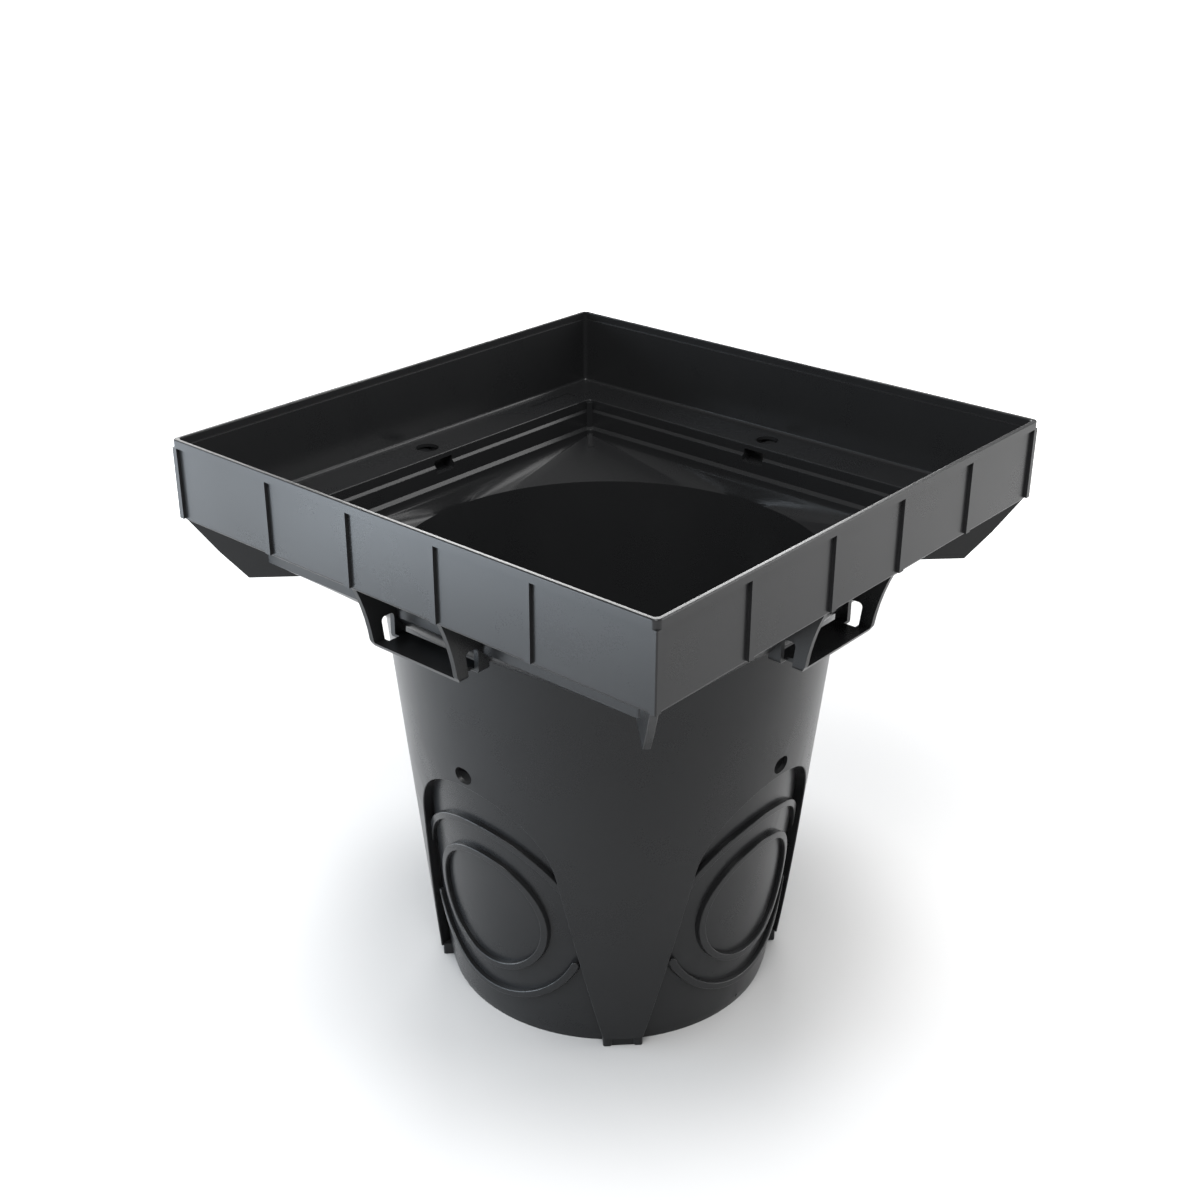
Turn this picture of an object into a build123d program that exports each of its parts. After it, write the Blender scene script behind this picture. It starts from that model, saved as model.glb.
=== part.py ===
from build123d import *
from math import radians, sqrt, tan
import os

# Catch basin moulded in one piece: a square tray, a stepped square well that turns round
# in a funnel, and a tapered bucket with a pipe outlet recess on each of its four sides.
# Millimetres. +Z is up, the ground is Z = 0 and the axis of the bucket is the Z axis.
# A drop is a depth measured down from the top of the rim.

# Overall size
HEIGHT = 424.0
RIM_HALF = 210.0

# Tray skirt
BAND_DROP = 6.0
BAND_CORNER_ROUND = 4.2
PANEL_HALF = 207.7
SKIRT_INNER_HALF = 204.8
BAND_INNER_HALF = 206.6
SKIRT_BOTTOM_DROP = 59.3
SKIRT_BOTTOM_ROUND = 2.2
RIM_EDGE_ROUND = 0.9
SKIRT_CORNER_ROUND = 1.6
POST_CORNER_ROUND = 1.0
TRAY_CORNER_ROUND = 3.1
RIB_WIDTH = 5.0
RIB_BOTTOM_DROP = 57.2
RIB_ROOT = 1.0
INNER_RIB_OFFSET = 38.5
OUTER_RIB_OFFSET_FRONT = 115.5
OUTER_RIB_OFFSET_SIDE = 123.0
POST_WIDTH = 4.8

# Grate seat round the well
SEAT_DROP = 58.8
SEAT_BOTTOM_DROP = 61.3
SEAT_PLATE_HALF = 205.2
SEAT_PLATE_ROUND = 2.9
SEAT_EDGE_ROUND = 0.8
SEAT_WALL_FILLET = 2.5
SEAT_HOLE_DIAMETER = 17.4
SEAT_HOLE_OFFSET = 185.1
PAD_LENGTH = 46.5
PAD_WIDTH = 8.6
PAD_DEPTH = 0.7
PAD_OFFSET = 187.3
PAD_CENTRE = 144.2

# Stepped square well
WELL_CORNER_ROUND = 4.0
WELL_HALF = 168.1
FIRST_STEP_DROP = 66.5
FIRST_STEP = 1.8
SECOND_WELL_HALF = 166.1
SECOND_STEP_DROP = 80.4
SECOND_STEP = 2.4
THIRD_WELL_HALF = 163.5
WELL_BOTTOM_DROP = 87.6
WELL_WALL = 3.2
STEP_EDGE_DRAFT = 0.2
STEP_EDGE_ROUND = 0.6
WINDOW_WIDTH = 18.6
WINDOW_TOP_DROP = 62.8
WINDOW_BOTTOM_DROP = 73.2
WINDOW_ROUND = 1.5
POCKET_WALL = 2.6
POCKET_OUTER_FRONT = 196.8
POCKET_FRONT_BOTTOM_DROP = 65.6
POCKET_BACK_BOTTOM_DROP = 78.0

# Funnel from the square well to the round bucket
THROAT_DROP = 101.0
FUNNEL_FLAT_ANGLE = 18.0
FUNNEL_WALL_DROP = 3.6
FUNNEL_CORNER_ROUND = 6.0

# Bucket, a cone narrowing downward
TAPER = 0.098
OUTER_RADIUS_AT_RIM = 172.9
BUCKET_WALL = 3.4
RECESS_DEPTH = 8.0
FLOOR_THICKNESS = 3.5
FOOT_CHAMFER_HEIGHT = 7.0
FOOT_RADIUS = 122.3
LEG_BOTTOM_DROP = 415.7
GATE_MARK_RADIUS = 1.2
GATE_MARK_HEIGHT = 4.6
GATE_MARK_PLACE = (124.4, 1.0, 5.2)

# Pipe outlet recess, an arch seen along the normal of its side
ARCH_RADIUS = 64.0
ARCH_CENTRE_DROP = 279.0
ARCH_SIDE_SLOPE = 0.128
ARCH_EDGE_ROUND = 0.8
RIDGE_CENTRE_DROP = 322.5
RIDGE_HEIGHT = 3.8
RIDGE_WIDTH = 5.3
INNER_RIDGE_RADIUS = 48.7
OUTER_RIDGE_RADIUS = 72.8
OUTER_RIDGE_LOWER_ANGLE = 23.0
OUTER_RIDGE_UPPER_ANGLE = 10.0
RIDGE_EDGE_ROUND = 0.8
WALL_HOLE_WIDTH = 15.0
WALL_HOLE_HEIGHT = 12.4
WALL_HOLE_DROP = 205.5

# Pegs below each leg
PEG_OFFSET = 11.1
PEG_WIDTH = 6.6
PEG_OUTER_RADIUS = 129.9
PEG_INNER_RADIUS = 121.0
PEG_CORNER_ROUND = 1.6
PEG_BOTTOM_ROUND = 0.9
PEG_BAR_OUTER_RADIUS = 128.5

# Gussets below the corners of the tray
GUSSET_THICKNESS = 5.0
GUSSET_TIP = 291.5
GUSSET_KINK = 272.0
GUSSET_KINK_DROP = 83.2
GUSSET_KNEE = 253.7
GUSSET_KNEE_DROP = 103.2
GUSSET_KNEE_ROUND = 1.5
GUSSET_EDGE_ROUND = 0.8

# Posts in the corners of the well
POST_FRONT = 232.0
POST_THICKNESS = 4.7
POST_TOP_DROP = 60.2
POST_FOOT = 210.5
POST_FOOT_DROP = 90.4
POST_SHELF_DROP = 85.0

# Lifting handles below the middle of each side
HANDLE_HALF = 40.0
HANDLE_PLATE = 3.8
HANDLE_BOTTOM_DROP = 105.6
HANDLE_TOP_FRONT = 205.6
HANDLE_MID_FRONT = 196.4
HANDLE_MID_DROP = 83.0
HANDLE_LOW_FRONT = 192.6
HANDLE_LOW_DROP = 101.0
HANDLE_BOTTOM_FRONT = 190.0
HANDLE_BACK = 164.6
HANDLE_FLOOR_BACK = 166.6
HANDLE_FLOOR = 2.9
HANDLE_SLOT_FRONT = 185.2
HANDLE_SLOT_LOW_FRONT = 182.6
HANDLE_SLOT_BACK = 174.2
HANDLE_SLOT_TOP_DROP = 86.5
HANDLE_SLOT_ROUND = 3.0
HANDLE_NOTCH = 4.1
HANDLE_LEG_ROUND = 1.5
HANDLE_UNDER_ROUND = 3.0

# Cutting allowance past a face
PAST = 1.0
# Distance that counts as none when an edge is looked for
TINY = 0.01
# How far a raised feature runs into the body that it stands on
ROOTED = 60.0


def level(drop):
    """Height above the ground of a drop below the rim."""
    return HEIGHT - drop


def on_four_sides(part):
    """The part and its copies turned to the other three sides."""
    return [Rot(0, 0, quarter * 90) * part for quarter in range(4)]


def square_block(half, top_drop, bottom_drop, corner):
    """Upright square block with rounded upright corners."""
    outline = RectangleRounded(2 * half, 2 * half, corner)
    return extrude(Pos(0, 0, level(bottom_drop)) * outline, bottom_drop - top_drop)


def square_taper(top_half, bottom_half, top_drop, bottom_drop, corner):
    """Square block whose half width changes evenly from its top to its bottom."""
    top = Pos(0, 0, level(top_drop)) * RectangleRounded(2 * top_half, 2 * top_half, corner)
    bottom = Pos(0, 0, level(bottom_drop)) * RectangleRounded(2 * bottom_half, 2 * bottom_half, corner)
    return loft([bottom, top], ruled=True)


def turned(profile):
    """Solid of revolution from (radius, drop) points."""
    points = [(radius, level(drop)) for radius, drop in profile]
    return revolve(Plane.XZ * make_face(Polyline(*points, close=True)), Axis.Z)


def cone(radius_at_rim, top_drop, bottom_drop):
    """Solid cone with the taper of the bucket."""
    return turned([
        (0, top_drop),
        (radius_at_rim - TAPER * top_drop, top_drop),
        (radius_at_rim - TAPER * bottom_drop, bottom_drop),
        (0, bottom_drop),
    ])


def skirt():
    """Thin square wall with a proud band along the rim, ribs and corner posts."""
    panels = square_block(PANEL_HALF, 0, SKIRT_BOTTOM_DROP, SKIRT_CORNER_ROUND)
    panels = fillet(panels.faces().sort_by(Axis.Z)[0].edges(), SKIRT_BOTTOM_ROUND)
    band = square_block(RIM_HALF, 0, BAND_DROP, BAND_CORNER_ROUND)
    wall = panels + band
    rib_height = RIB_BOTTOM_DROP - BAND_DROP / 2
    rib_depth = RIM_HALF - PANEL_HALF + RIB_ROOT
    rib = Box(rib_depth, RIB_WIDTH, rib_height)
    rib_middle = level(BAND_DROP / 2 + rib_height / 2)
    for quarter, outer_offset in enumerate(
        (OUTER_RIB_OFFSET_SIDE, OUTER_RIB_OFFSET_FRONT) * 2
    ):
        for offset in (-outer_offset, -INNER_RIB_OFFSET, INNER_RIB_OFFSET, outer_offset):
            wall += Rot(0, 0, quarter * 90) * Pos(RIM_HALF - rib_depth / 2, offset, rib_middle) * rib
    post = square_block(RIM_HALF, BAND_DROP, RIB_BOTTOM_DROP, POST_CORNER_ROUND)
    keep = Box(POST_WIDTH, POST_WIDTH, HEIGHT)
    corner = RIM_HALF - POST_WIDTH / 2
    keep = Pos(corner, corner, level(HEIGHT / 2)) * keep
    for quarter in range(4):
        wall += post & (Rot(0, 0, quarter * 90) * keep)
    return wall


def tray_space():
    """Space inside the tray, a little wider behind the band and rounded where the skirt meets the seat."""
    space = square_block(SKIRT_INNER_HALF, -PAST, SEAT_DROP, TRAY_CORNER_ROUND)
    space = fillet(space.faces().sort_by(Axis.Z)[0].edges(), SEAT_WALL_FILLET)
    return space + square_block(BAND_INNER_HALF, -PAST, BAND_DROP, TRAY_CORNER_ROUND)


def well_space():
    """Space of the square well, narrowing at two small sloped steps."""
    steps = (
        (WELL_HALF, SEAT_DROP - PAST, FIRST_STEP_DROP, FIRST_STEP),
        (SECOND_WELL_HALF, FIRST_STEP_DROP + FIRST_STEP, SECOND_STEP_DROP, SECOND_STEP),
    )
    space = square_taper(
        THIRD_WELL_HALF, THIRD_WELL_HALF - STEP_EDGE_DRAFT,
        SECOND_STEP_DROP + SECOND_STEP, WELL_BOTTOM_DROP, WELL_CORNER_ROUND,
    )
    for half, top_drop, step_drop, step in steps:
        lower_half = half - STEP_EDGE_DRAFT
        space += square_taper(half, lower_half, top_drop, step_drop, WELL_CORNER_ROUND)
        space += square_taper(lower_half, lower_half - step, step_drop, step_drop + step, WELL_CORNER_ROUND)
    return space


def edges_at(part, drop, outermost):
    """Edges of the part that lie flat at a drop, no further out than a half width."""
    reach = outermost + TINY
    flat = [edge for edge in part.edges() if all(abs(end.Z - level(drop)) < TINY for end in edge.vertices())]
    return [
        edge for edge in flat
        if abs(edge.center().Z - level(drop)) < TINY
        and max(abs(edge.center().X), abs(edge.center().Y)) < reach
    ]


def tray():
    """Skirt, grate seat and square well in one wall, with the rim, the seat and the steps rounded."""
    plate = square_block(SEAT_PLATE_HALF, SKIRT_BOTTOM_DROP - PAST, SEAT_BOTTOM_DROP, TRAY_CORNER_ROUND)
    plate = fillet(plate.faces().sort_by(Axis.Z)[0].edges(), SEAT_PLATE_ROUND)
    part = skirt() + plate
    part += square_block(WELL_HALF + WELL_WALL, SKIRT_BOTTOM_DROP,
                         WELL_BOTTOM_DROP + FUNNEL_WALL_DROP, FUNNEL_CORNER_ROUND)
    part -= tray_space()
    part -= well_space()
    part = fillet(edges_at(part, 0, RIM_HALF), RIM_EDGE_ROUND)
    part = fillet(edges_at(part, SEAT_DROP, WELL_HALF), SEAT_EDGE_ROUND)
    part = fillet(edges_at(part, FIRST_STEP_DROP + FIRST_STEP, WELL_HALF), STEP_EDGE_ROUND)
    return fillet(edges_at(part, SECOND_STEP_DROP + SECOND_STEP, WELL_HALF), STEP_EDGE_ROUND)


def square_ring(half, drop, corner):
    """Edges of a rounded square, one straight edge and one arc to each side in turn."""
    straight = half - corner
    edges = []
    for quarter in range(4):
        turn = Rot(0, 0, quarter * 90)
        edges.append(turn * Line((half, -straight), (half, straight)))
        edges.append(turn * CenterArc((straight, straight), corner, 0, 90))
    return Pos(0, 0, level(drop)) * Wire(edges)


def round_ring(radius, drop):
    """Edges of a circle, split into the same eight parts as a square ring."""
    edges = []
    for quarter in range(4):
        turn = Rot(0, 0, quarter * 90)
        flat = FUNNEL_FLAT_ANGLE
        edges.append(turn * CenterArc((0, 0), radius, -flat, 2 * flat))
        edges.append(turn * CenterArc((0, 0), radius, flat, 90 - 2 * flat))
    return Pos(0, 0, level(drop)) * Wire(edges)


def funnel(half, radius, top_drop, bottom_drop):
    """Solid that turns from a rounded square at the top to a circle at the bottom."""
    rings = [round_ring(radius, bottom_drop), square_ring(half, top_drop, FUNNEL_CORNER_ROUND)]
    return Solid.make_loft(rings, ruled=True)


def arch_prism(growth=0.0):
    """Arch outline pushed out along the normal of the +X side."""
    slope = ARCH_SIDE_SLOPE
    length = sqrt(1 + slope * slope)
    radius = ARCH_RADIUS + growth
    side_at_centre = radius * length
    bottom_drop = HEIGHT + PAST
    half_at_bottom = side_at_centre + slope * (bottom_drop - ARCH_CENTRE_DROP)
    touch_y = radius / length
    touch_z = level(ARCH_CENTRE_DROP) + radius * slope / length
    crown = (0, level(ARCH_CENTRE_DROP) + radius)
    outline = Polyline((-touch_y, touch_z), (-half_at_bottom, level(bottom_drop)),
                       (half_at_bottom, level(bottom_drop)), (touch_y, touch_z))
    outline += ThreePointArc((touch_y, touch_z), crown, (-touch_y, touch_z))
    return extrude(Plane.YZ.offset(ROOTED) * make_face(outline), RIM_HALF - ROOTED)


def ridges():
    """Raised pipe size rings on the recess of the +X side."""
    centre = Pos(0, level(RIDGE_CENTRE_DROP))
    inner = Circle(INNER_RIDGE_RADIUS + RIDGE_WIDTH / 2) - Circle(INNER_RIDGE_RADIUS - RIDGE_WIDTH / 2)
    low = OUTER_RIDGE_LOWER_ANGLE
    lower_arc = CenterArc((0, 0), OUTER_RIDGE_RADIUS, 180 + low, 180 - 2 * low)
    lower = SlotArc(lower_arc, RIDGE_WIDTH)
    high = OUTER_RIDGE_UPPER_ANGLE
    upper_arc = CenterArc((0, 0), OUTER_RIDGE_RADIUS, high, 180 - 2 * high)
    upper = SlotArc(upper_arc, RIDGE_WIDTH)
    shell = cone(OUTER_RADIUS_AT_RIM - RECESS_DEPTH + RIDGE_HEIGHT, WALL_HOLE_DROP, HEIGHT)
    raised = []
    for outline in (inner, lower, upper):
        bar = extrude(Plane.YZ.offset(ROOTED) * (centre * outline), RIM_HALF - ROOTED)
        bar = (bar & shell).solid()
        top_face = bar.faces().filter_by(GeomType.CONE).sort_by(SortBy.AREA)[-1]
        raised.append(fillet(top_face.edges(), RIDGE_EDGE_ROUND))
    inside_arch = arch_prism()
    return [raised[0], raised[1], raised[2] & inside_arch]


def bucket_shell():
    """Outside of the bucket: the tapered cone with a recess cut into each side."""
    legs = cone(OUTER_RADIUS_AT_RIM, SEAT_DROP, LEG_BOTTOM_DROP)
    for prism in on_four_sides(arch_prism()):
        legs -= prism
    edges = [
        edge for edge in legs.edges()
        if edge.geom_type != GeomType.LINE or abs(edge.tangent_at(0.5).Z) > sqrt(0.5)
    ]
    edges = [edge for edge in edges if edge.length > ARCH_EDGE_ROUND and on_cone(edge)]
    legs = fillet(edges, ARCH_EDGE_ROUND)
    recess_radius = OUTER_RADIUS_AT_RIM - RECESS_DEPTH
    chamfer_drop = HEIGHT - FOOT_CHAMFER_HEIGHT
    core = turned([
        (0, SEAT_DROP),
        (recess_radius - TAPER * SEAT_DROP, SEAT_DROP),
        (recess_radius - TAPER * chamfer_drop, chamfer_drop),
        (FOOT_RADIUS, HEIGHT),
        (0, HEIGHT),
    ])
    return legs + core


def on_cone(edge):
    """True for an edge of the outer cone between the recess crown and the leg bottoms."""
    middle = edge.position_at(0.5)
    drop = HEIGHT - middle.Z
    radius = sqrt(middle.X ** 2 + middle.Y ** 2)
    near = abs(radius - (OUTER_RADIUS_AT_RIM - TAPER * drop)) < ARCH_EDGE_ROUND / 4
    return near and ARCH_CENTRE_DROP - ARCH_RADIUS - PAST < drop < LEG_BOTTOM_DROP - PAST


def bucket_space():
    """Space inside the bucket, which follows the recesses and runs into the hollow legs."""
    outer = OUTER_RADIUS_AT_RIM - BUCKET_WALL
    space = cone(outer, THROAT_DROP, LEG_BOTTOM_DROP - FLOOR_THICKNESS)
    for prism in on_four_sides(arch_prism(BUCKET_WALL)):
        space -= prism
    return space + cone(outer - RECESS_DEPTH, THROAT_DROP, HEIGHT - FLOOR_THICKNESS)


def pegs():
    """Two pegs with a bar between them, below the leg on the +X+Y diagonal."""
    height = HEIGHT - LEG_BOTTOM_DROP + FLOOR_THICKNESS / 2
    depth = PEG_OUTER_RADIUS - PEG_INNER_RADIUS
    peg = Box(depth, PEG_WIDTH, height)
    peg = fillet(peg.edges().filter_by(Axis.Z).sort_by(Axis.X)[-2:], PEG_CORNER_ROUND)
    peg = fillet(peg.faces().sort_by(Axis.Z)[0].edges().sort_by(Axis.X)[1:], PEG_BOTTOM_ROUND)
    middle = PEG_INNER_RADIUS + depth / 2
    bar_depth = PEG_BAR_OUTER_RADIUS - PEG_INNER_RADIUS
    feet = [Pos(PEG_INNER_RADIUS + bar_depth / 2, 0, height / 2) * Box(bar_depth, 2 * PEG_OFFSET, height)]
    feet += [Pos(middle, side * PEG_OFFSET, height / 2) * peg for side in (-1, 1)]
    return [Rot(0, 0, 45) * foot for foot in feet]


def upright_plate(points, thickness):
    """Plate standing on the XZ plane, from (distance, drop) points."""
    outline = [(distance, level(drop)) for distance, drop in points]
    return extrude(Plane.XZ * make_face(Polyline(*outline, close=True)), thickness / 2, both=True)


def gusset():
    """Fin below the corner of the tray on the +X+Y diagonal."""
    top_drop = SKIRT_BOTTOM_DROP - PAST
    inner = OUTER_RADIUS_AT_RIM - TAPER * GUSSET_KNEE_DROP
    fin = upright_plate([
        (GUSSET_TIP, top_drop), (GUSSET_KINK, GUSSET_KINK_DROP), (GUSSET_KNEE, GUSSET_KNEE_DROP),
        (inner, GUSSET_KNEE_DROP), (inner, top_drop),
    ], GUSSET_THICKNESS)
    across = fin.edges().filter_by(Axis.Y)
    knee = across.sort_by_distance((GUSSET_KNEE, 0, level(GUSSET_KNEE_DROP)))[0]
    fin = fillet(knee, GUSSET_KNEE_ROUND)
    outer_edges = [
        edge for edge in fin.edges()
        if abs(edge.tangent_at(0.5).Y) < tan(radians(1)) and edge.position_at(0.5).X > inner + PAST
        and edge.position_at(0.5).Z < level(top_drop) - PAST
    ]
    return Rot(0, 0, 45) * fillet(outer_edges, GUSSET_EDGE_ROUND)


def well_post():
    """Corner post of the well on the +X+Y diagonal, with a low foot on the funnel."""
    into_wall = (WELL_HALF + WELL_WALL / 2) * sqrt(2)
    below = WELL_BOTTOM_DROP + (THROAT_DROP - WELL_BOTTOM_DROP) / 2
    post = upright_plate([
        (into_wall, POST_TOP_DROP), (POST_FRONT, POST_TOP_DROP), (POST_FRONT, POST_SHELF_DROP),
        (POST_FOOT, POST_FOOT_DROP), (POST_FOOT, below), (POST_FRONT, below),
        (into_wall, WELL_BOTTOM_DROP),
    ], POST_THICKNESS)
    return Rot(0, 0, 45) * post


def handle_side():
    """Outline of a handle seen from its side, in (distance, height)."""
    top, low = level(SKIRT_BOTTOM_DROP - PAST), level(HANDLE_BOTTOM_DROP)
    foot = (HANDLE_LOW_FRONT, level(HANDLE_LOW_DROP))
    head = (HANDLE_TOP_FRONT, top)
    front = ThreePointArc(head, (HANDLE_MID_FRONT, level(HANDLE_MID_DROP)), foot)
    rest = Polyline(foot, (HANDLE_BOTTOM_FRONT, low), (HANDLE_BACK, low), (HANDLE_BACK, top), head)
    return make_face(front + rest)


def handle_slotted_side():
    """The same outline with a slot that is open at the bottom, between a front leg and a back leg."""
    low = level(HANDLE_BOTTOM_DROP)
    slot = make_face(Polyline(
        (HANDLE_SLOT_BACK, low - PAST), (HANDLE_SLOT_LOW_FRONT, low - PAST),
        (HANDLE_SLOT_FRONT, level(HANDLE_SLOT_TOP_DROP)), (HANDLE_SLOT_BACK, level(HANDLE_SLOT_TOP_DROP)),
        close=True,
    ))
    slot = fillet(slot.vertices().sort_by(Axis.Y)[-2:], HANDLE_SLOT_ROUND)
    side = handle_side() - slot
    feet = [corner for corner in side.vertices() if abs(corner.Y - low) < TINY]
    feet = [corner for corner in feet if corner.X < HANDLE_BOTTOM_FRONT - PAST]
    return fillet(feet, HANDLE_LEG_ROUND)


def handle():
    """Handle of the +X side: two slotted side plates and a floor between them, notched at the slots."""
    inside = HANDLE_HALF - HANDLE_PLATE
    unslotted_half = inside - HANDLE_NOTCH
    part = extrude(Plane.XZ * handle_side(), unslotted_half, both=True)
    slab = extrude(Plane.XZ * handle_slotted_side(), (HANDLE_HALF - unslotted_half) / 2, both=True)
    for side in (-1, 1):
        part += Pos(0, side * (HANDLE_HALF + unslotted_half) / 2, 0) * slab
    depth = HANDLE_TOP_FRONT - HANDLE_BACK + 2 * PAST
    low, high = level(HANDLE_BOTTOM_DROP), level(SEAT_DROP)
    outline = Pos(0, (low + high) / 2) * Rectangle(2 * HANDLE_HALF, high - low)
    outline = fillet(outline.vertices().sort_by(Axis.Y)[:2], HANDLE_UNDER_ROUND)
    part &= extrude(Plane.YZ.offset(HANDLE_BACK - PAST) * outline, depth)
    middle = HANDLE_BACK - PAST + depth / 2
    above_floor = high - low - HANDLE_FLOOR
    part -= Pos(middle, 0, high - above_floor / 2) * Box(depth, 2 * inside, above_floor)
    strip = HANDLE_FLOOR_BACK - HANDLE_BACK
    return part - Pos(HANDLE_BACK + strip / 2, 0, low) * Box(strip, 2 * inside, 4 * HANDLE_FLOOR)


def window():
    """Window through the wall of the well on the +X side."""
    height = WINDOW_BOTTOM_DROP - WINDOW_TOP_DROP
    middle = level((WINDOW_BOTTOM_DROP + WINDOW_TOP_DROP) / 2)
    outline = Pos(0, middle) * RectangleRounded(WINDOW_WIDTH, height, WINDOW_ROUND)
    start = THIRD_WELL_HALF - PAST
    return extrude(Plane.YZ.offset(start) * outline, WELL_HALF + WELL_WALL + PAST - start)


def pocket(wall):
    """Block under the seat hole of the +X side with a sloped bottom, smaller by a wall."""
    front = POCKET_OUTER_FRONT - wall
    back = WELL_HALF + WELL_WALL if wall else WELL_HALF + WELL_WALL / 2
    top_drop = SEAT_BOTTOM_DROP if wall else SEAT_BOTTOM_DROP - PAST
    width = WINDOW_WIDTH + 2 * (POCKET_WALL - wall)
    return upright_plate([
        (front, top_drop), (front, POCKET_FRONT_BOTTOM_DROP - wall),
        (back, POCKET_BACK_BOTTOM_DROP - wall), (back, top_drop),
    ], width)


def seat_hole():
    """Round hole through the grate seat on the +X side."""
    depth = SEAT_BOTTOM_DROP - SEAT_DROP + 2 * PAST
    middle = level((SEAT_BOTTOM_DROP + SEAT_DROP) / 2)
    return Pos(SEAT_HOLE_OFFSET, 0, middle) * Cylinder(SEAT_HOLE_DIAMETER / 2, depth)


def wall_hole():
    """Oblong hole through the bucket wall above the recess of the +X side."""
    outline = Pos(0, level(WALL_HOLE_DROP)) * SlotOverall(WALL_HOLE_WIDTH, WALL_HOLE_HEIGHT)
    return extrude(Plane.YZ.offset(ROOTED) * outline, RIM_HALF - ROOTED)


def below_the_tray():
    """Bucket, funnel, fins, handles, pockets and pegs as solid forms, clear of the tray and the well."""
    body = bucket_shell()
    for side in on_four_sides(Part() + ridges()):
        body += side
    body += funnel(WELL_HALF + WELL_WALL, OUTER_RADIUS_AT_RIM - TAPER * THROAT_DROP,
                   WELL_BOTTOM_DROP + FUNNEL_WALL_DROP, THROAT_DROP + FUNNEL_WALL_DROP)
    for feature in (gusset(), handle(), pocket(0)):
        body += on_four_sides(feature)
    body += on_four_sides(Part() + pegs())
    body -= tray_space()
    well_half = WELL_HALF + WELL_WALL / 2
    return body - square_block(well_half, SEAT_DROP - PAST, WELL_BOTTOM_DROP, WELL_CORNER_ROUND)


def basin():
    """The whole basin, outside forms first and the spaces inside them last."""
    body = below_the_tray() + tray()
    throat_radius = OUTER_RADIUS_AT_RIM - BUCKET_WALL - TAPER * THROAT_DROP
    body -= funnel(THIRD_WELL_HALF - STEP_EDGE_DRAFT, throat_radius, WELL_BOTTOM_DROP, THROAT_DROP)
    body -= bucket_space()
    body += on_four_sides(well_post())
    for cut in (pocket(POCKET_WALL), window(), seat_hole(), wall_hole()):
        body -= on_four_sides(cut)
    pad = Box(PAD_WIDTH, PAD_LENGTH, 2 * PAD_DEPTH)
    body -= Pos(-PAD_OFFSET, PAD_CENTRE, level(SEAT_DROP)) * pad
    return body - Pos(*GATE_MARK_PLACE) * Cylinder(GATE_MARK_RADIUS, GATE_MARK_HEIGHT)


os.makedirs("parts", exist_ok=True)
export_step(basin(), "parts/basin_body.step")
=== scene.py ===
import math

import bmesh
import bpy
import numpy as np
from mathutils import Matrix, Vector


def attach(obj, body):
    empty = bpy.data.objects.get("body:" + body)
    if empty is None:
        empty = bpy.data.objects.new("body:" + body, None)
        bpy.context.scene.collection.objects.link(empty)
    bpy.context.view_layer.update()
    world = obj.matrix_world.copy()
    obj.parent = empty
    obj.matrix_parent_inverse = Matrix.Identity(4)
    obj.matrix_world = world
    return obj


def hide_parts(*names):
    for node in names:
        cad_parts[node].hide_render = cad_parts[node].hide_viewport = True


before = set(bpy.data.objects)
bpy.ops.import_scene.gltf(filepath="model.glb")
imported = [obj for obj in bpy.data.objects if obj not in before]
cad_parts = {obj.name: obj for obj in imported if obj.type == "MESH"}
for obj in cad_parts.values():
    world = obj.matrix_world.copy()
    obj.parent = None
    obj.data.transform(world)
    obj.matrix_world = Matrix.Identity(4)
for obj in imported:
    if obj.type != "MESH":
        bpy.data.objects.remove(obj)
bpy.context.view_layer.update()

# Basin body.
# One injection moulding in black polypropylene: square tray with a ribbed skirt, funnel, round bucket,
# brace fins and lifting handles. The tool is finely stoned, so the skin is satin, with faint flow clouds.


class Field:
    """A number, colour or vector that the shader works out at each point. Plus and times add Math nodes."""

    def __init__(self, finish, socket):
        self.finish = finish
        self.socket = socket

    def math(self, operation, first, second):
        return self.finish.node("ShaderNodeMath", {"operation": operation}, {0: first, 1: second})

    def __add__(self, other):
        return self.math("ADD", self, other)

    def __radd__(self, other):
        return self.math("ADD", other, self)

    def __mul__(self, other):
        return self.math("MULTIPLY", self, other)

    def __rmul__(self, other):
        return self.math("MULTIPLY", other, self)


class Finish:
    """A material whose nodes are added one by one and end in one Principled surface."""

    def __init__(self, name):
        self.material = bpy.data.materials.new(name)
        self.material.use_nodes = True
        self.tree = self.material.node_tree
        self.tree.nodes.clear()
        output = self.tree.nodes.new("ShaderNodeOutputMaterial")
        self.surface = self.tree.nodes.new("ShaderNodeBsdfPrincipled")
        self.tree.links.new(self.surface.outputs[0], output.inputs["Surface"])

    def fill(self, node, inputs):
        """Sets each socket of a node, by name or number, to a value, or links what was worked out to it."""
        for name, value in inputs.items():
            if isinstance(value, Field):
                self.tree.links.new(value.socket, node.inputs[name])
            else:
                node.inputs[name].default_value = value

    def node(self, kind, settings=(), inputs=(), output=0):
        """Adds a node of a type, first its settings and then its sockets, and gives one of its outputs."""
        made = self.tree.nodes.new(kind)
        for name, value in dict(settings).items():
            setattr(made, name, value)
        self.fill(made, dict(inputs))
        return Field(self, made.outputs[output])

    def colour_mix(self, share, first, second):
        """From the first colour to the second, as the share goes from 0 to 1."""
        return self.node("ShaderNodeMix", {"data_type": "RGBA"}, {0: share, 6: first, 7: second}, output=2)


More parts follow.
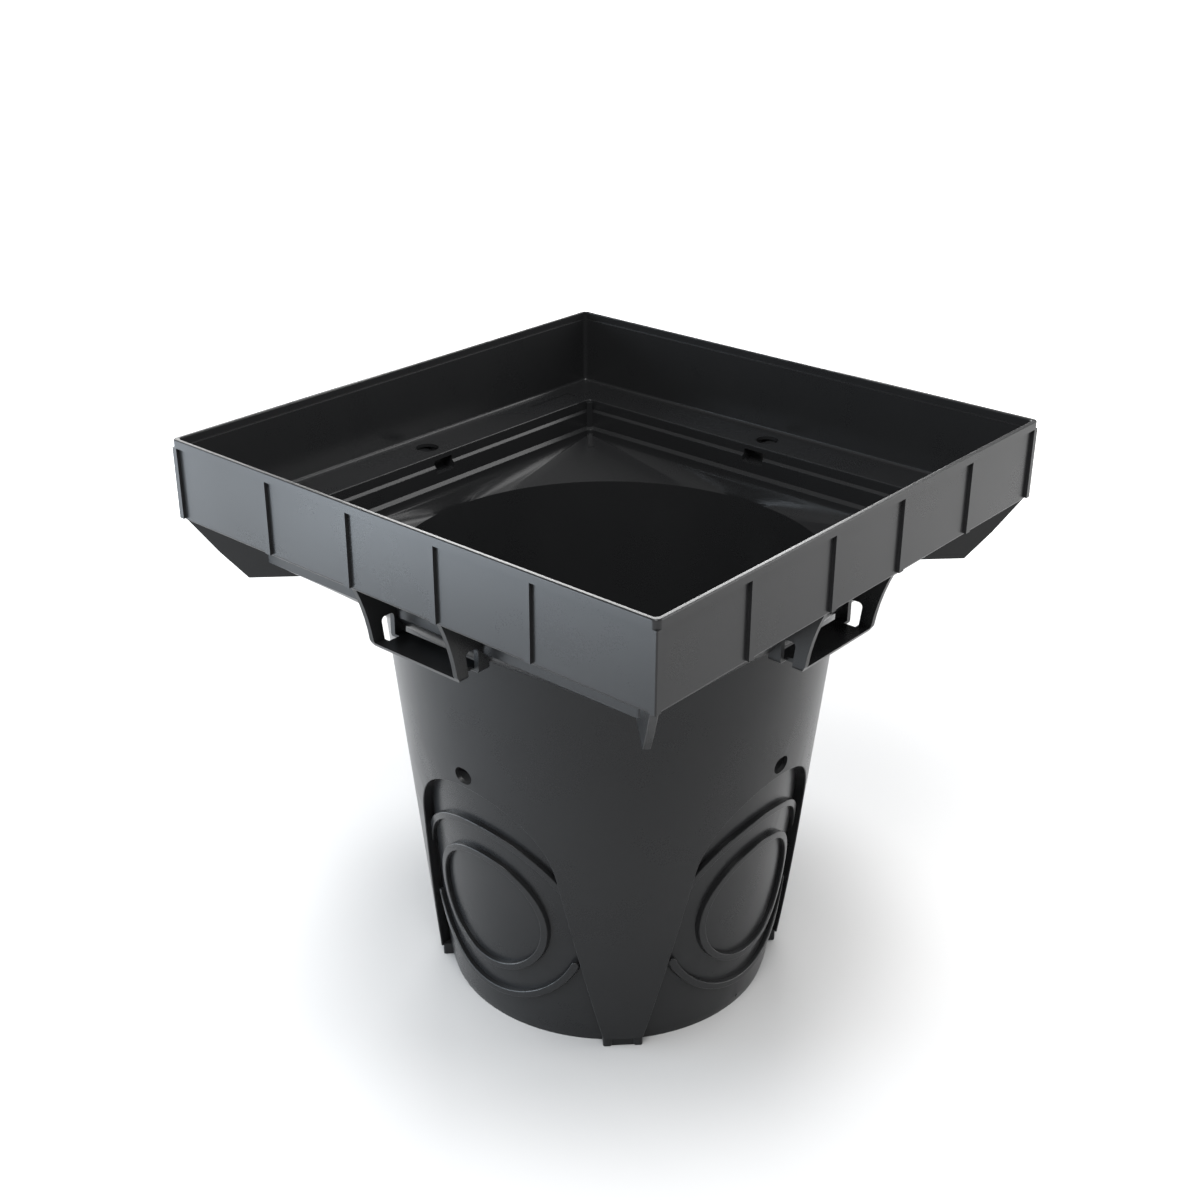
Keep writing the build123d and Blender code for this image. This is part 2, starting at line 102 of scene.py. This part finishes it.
def satin_moulding(name):
    """Black polypropylene: fine grain in the normal, slow flow clouds in the colour and the gloss."""
    clouds_per_metre, grains_per_metre = 14.0, 1500.0
    deep_black, worn_black = (0.0110, 0.0113, 0.0119, 1.0), (0.0140, 0.0143, 0.0149, 1.0)
    finish = Finish(name)
    place = finish.node("ShaderNodeTexCoord", output="Object")
    clouds = finish.node("ShaderNodeTexNoise", {}, {
        "Vector": place, "Scale": clouds_per_metre, "Detail": 3.0, "Roughness": 0.55,
    })
    grain = finish.node("ShaderNodeTexNoise", {}, {
        "Vector": place, "Scale": grains_per_metre, "Detail": 2.0,
    })
    bump = finish.node("ShaderNodeBump", {}, {"Height": grain, "Strength": 0.05, "Distance": 0.0002})
    finish.fill(finish.surface, {
        "Base Color": finish.colour_mix(clouds, deep_black, worn_black),
        "Roughness": 0.24 + 0.06 * clouds + 0.02 * grain,
        "Specular IOR Level": 0.24,
        "Normal": bump,
    })
    return finish.material


def smooth_copy(node, name, crease_angle, merge_distance):
    """The node's loose triangles merged into one closed skin, smooth but for edges past crease_angle."""
    mesh = node.data.copy()
    mesh.name = name
    mesh.materials.clear()
    skin = bpy.data.objects.new(name, mesh)
    bpy.context.scene.collection.objects.link(skin)
    work = bmesh.new()
    work.from_mesh(mesh)
    bmesh.ops.remove_doubles(work, verts=work.verts, dist=merge_distance)
    work.to_mesh(mesh)
    work.free()
    if mesh.attributes.get("custom_normal"):
        mesh.attributes.remove(mesh.attributes["custom_normal"])
    mesh.shade_smooth()
    mesh.set_sharp_from_angle(angle=crease_angle)
    flat_faces = skin.modifiers.new("flat_faces_stay_flat", "WEIGHTED_NORMAL")
    flat_faces.keep_sharp = True
    return skin


body = smooth_copy(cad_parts["basin_body"], "basin_skin", math.radians(28), 2e-6)
body.data.materials.append(satin_moulding("black_polypropylene"))
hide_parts("basin_body")
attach(body, "root")

# Floor.
# A plain pale studio table, so large that its edge is out of sight. Its glow is painted light and shade:
# none under the basin, which paints the basin's soft shadow on the floor, a little round it and most far
# behind it.


def square_sheet(name, half, height):
    """A flat square of four corners at plus and minus half, at one height."""
    corners = half * np.array([(-1.0, -1.0), (1.0, -1.0), (1.0, 1.0), (-1.0, 1.0)])
    mesh = bpy.data.meshes.new(name)
    mesh.from_pydata(np.column_stack((corners, np.full(4, height))).tolist(), [], [(0, 1, 2, 3)])
    sheet = bpy.data.objects.new(name, mesh)
    bpy.context.scene.collection.objects.link(sheet)
    return sheet


def pale_floor(name):
    """Matt pale grey, with a painted glow that grows with the distance from the basin's axis, in two rises,
    so that the basin's shadow is painted on the floor.
    """
    finish = Finish(name)
    reach = finish.node("ShaderNodeVectorMath", {"operation": "LENGTH"}, {
        0: finish.node("ShaderNodeTexCoord", output="Object"),
    }, output="Value")

    def rise(start, end, height):
        """A smooth rise from nothing to height, between two distances from the axis."""
        return finish.node("ShaderNodeMapRange", {"interpolation_type": "SMOOTHSTEP"}, {
            "Value": reach, "From Min": start, "From Max": end, "To Min": 0.0, "To Max": height,
        })

    # Painted light and shade: no glow near the axis paints the basin's soft shadow, and the glow further
    # out paints a bright floor.
    painted_floor_glow = rise(0.16, 0.30, 0.28) + rise(0.55, 1.20, 0.72)
    finish.fill(finish.surface, {
        "Base Color": (0.43, 0.43, 0.43, 1.0),
        "Roughness": 0.9,
        "Specular IOR Level": 0.1,
        "Emission Color": finish.colour_mix(painted_floor_glow, (0.0, 0.0, 0.0, 1.0), (1.0, 1.0, 1.0, 1.0)),
        "Emission Strength": 1.0,
    })
    return finish.material


floor = square_sheet("studio_floor", 30.0, 0.0)
floor.data.materials.append(pale_floor("pale_floor"))

# Backdrop.
# Bright white paper hangs in a ring round the floor, far behind the basin, so that the view ends in white
# from every side. Only the camera sees it, so it lights nothing.


def round_wall(name, radius, height, panels):
    """An upright ring of flat panels round the vertical axis, standing on the floor."""
    around = np.repeat(np.linspace(0, 2 * math.pi, panels, endpoint=False), 2)
    levels = np.tile((0.0, height), panels)
    corners = np.column_stack((radius * np.cos(around), radius * np.sin(around), levels))
    last = 2 * panels
    faces = [(low, (low + 2) % last, (low + 3) % last, low + 1) for low in range(0, last, 2)]
    mesh = bpy.data.meshes.new(name)
    mesh.from_pydata(corners.tolist(), [], faces)
    wall = bpy.data.objects.new(name, mesh)
    bpy.context.scene.collection.objects.link(wall)
    return wall


paper = Finish("white_paper")
paper.fill(paper.surface, {"Emission Color": (1.0, 1.0, 1.0, 1.0), "Emission Strength": 1.0})
backdrop = round_wall("backdrop", 28.0, 20.0, 48)
backdrop.data.materials.append(paper.material)
backdrop.visible_diffuse = False
backdrop.visible_glossy = False
backdrop.visible_transmission = False
backdrop.visible_shadow = False

# Studio light.
# White walls and ceiling give an even light from all round. Large square soft boxes stand in a ring round
# the basin, most of them low, and the ones on the left are a little bluer.

room = bpy.data.worlds.new("white_room")
room.use_nodes = True
room.node_tree.nodes["Background"].inputs["Color"].default_value = (1.0, 1.0, 1.0, 1.0)
room.node_tree.nodes["Background"].inputs["Strength"].default_value = 0.42
bpy.context.scene.world = room
bpy.context.scene.view_settings.view_transform = "Standard"
MIDDLE = Vector((0.0, 0.0, 0.25))
WHITE, COOL = (1.0, 1.0, 1.0), (0.78, 0.89, 1.0)


def soft_box(name, turn, rise, power, colour, distance=2.4, side=1.0):
    """A square light that faces the middle of the basin, turned from -Y to +X and raised, in degrees."""
    turn, rise = math.radians(turn), math.radians(rise)
    towards = Vector((math.sin(turn) * math.cos(rise), -math.cos(turn) * math.cos(rise), math.sin(rise)))
    lamp = bpy.data.lights.new(name, "AREA")
    lamp.shape = "SQUARE"
    lamp.size = side
    lamp.energy = power
    lamp.color = colour
    box = bpy.data.objects.new(name, lamp)
    bpy.context.scene.collection.objects.link(box)
    box.location = MIDDLE + distance * towards
    box.rotation_euler = towards.to_track_quat("Z", "Y").to_euler()
    box.visible_camera = False


def low_soft_box(name, turn, power):
    """A small soft box close to the floor on the left, for the skirt and the bucket from below."""
    soft_box(name, turn, -4, power, COOL, distance=1.1, side=0.35)


soft_box("right_box", 130.8, 12, 25.0, WHITE)
soft_box("right_high_box", 160.8, 45, 16.0, WHITE)
soft_box("back_right_high_box", 190.8, 45, 5.0, WHITE)
soft_box("back_box", 220.8, 22, 32.0, WHITE)
soft_box("back_left_box", 250.8, 12, 21.0, WHITE)
soft_box("far_left_box", 280.8, 12, 22.0, WHITE)
soft_box("left_box", 310.8, 12, 26.0, COOL)
soft_box("front_high_box", 35.0, 58, 50.0, WHITE, distance=2.2)
low_soft_box("low_front_left_box", -18.0, 4.6)
low_soft_box("low_left_box", -36.0, 4.0)
low_soft_box("low_side_left_box", -62.0, 1.8)
low_soft_box("low_far_left_box", -90.0, 2.3)

# Camera.
# It stands where the photograph was taken from: in front of one corner and a little above it.

AZIMUTH, ELEVATION, ROLL = math.radians(40.755), math.radians(25.545), math.radians(0.208)
TARGET = Vector((-0.01064, 0.0, 0.2914))
DISTANCE = 1.2
back = Vector((
    math.sin(AZIMUTH) * math.cos(ELEVATION),
    -math.cos(AZIMUTH) * math.cos(ELEVATION),
    math.sin(ELEVATION),
))
level_right = Vector((math.cos(AZIMUTH), math.sin(AZIMUTH), 0.0))
level_up = back.cross(level_right)
right = math.cos(ROLL) * level_right + math.sin(ROLL) * level_up
up = -math.sin(ROLL) * level_right + math.cos(ROLL) * level_up
lens = bpy.data.cameras.new("photo_camera")
lens.lens, lens.sensor_width = 50.0, 36.0
lens.clip_start, lens.clip_end = 0.05, 100.0
camera = bpy.data.objects.new("photo_camera", lens)
bpy.context.scene.collection.objects.link(camera)
facing = Matrix((right, up, back)).transposed().to_4x4()
camera.matrix_world = Matrix.Translation(TARGET + DISTANCE * back) @ facing
bpy.context.scene.camera = camera
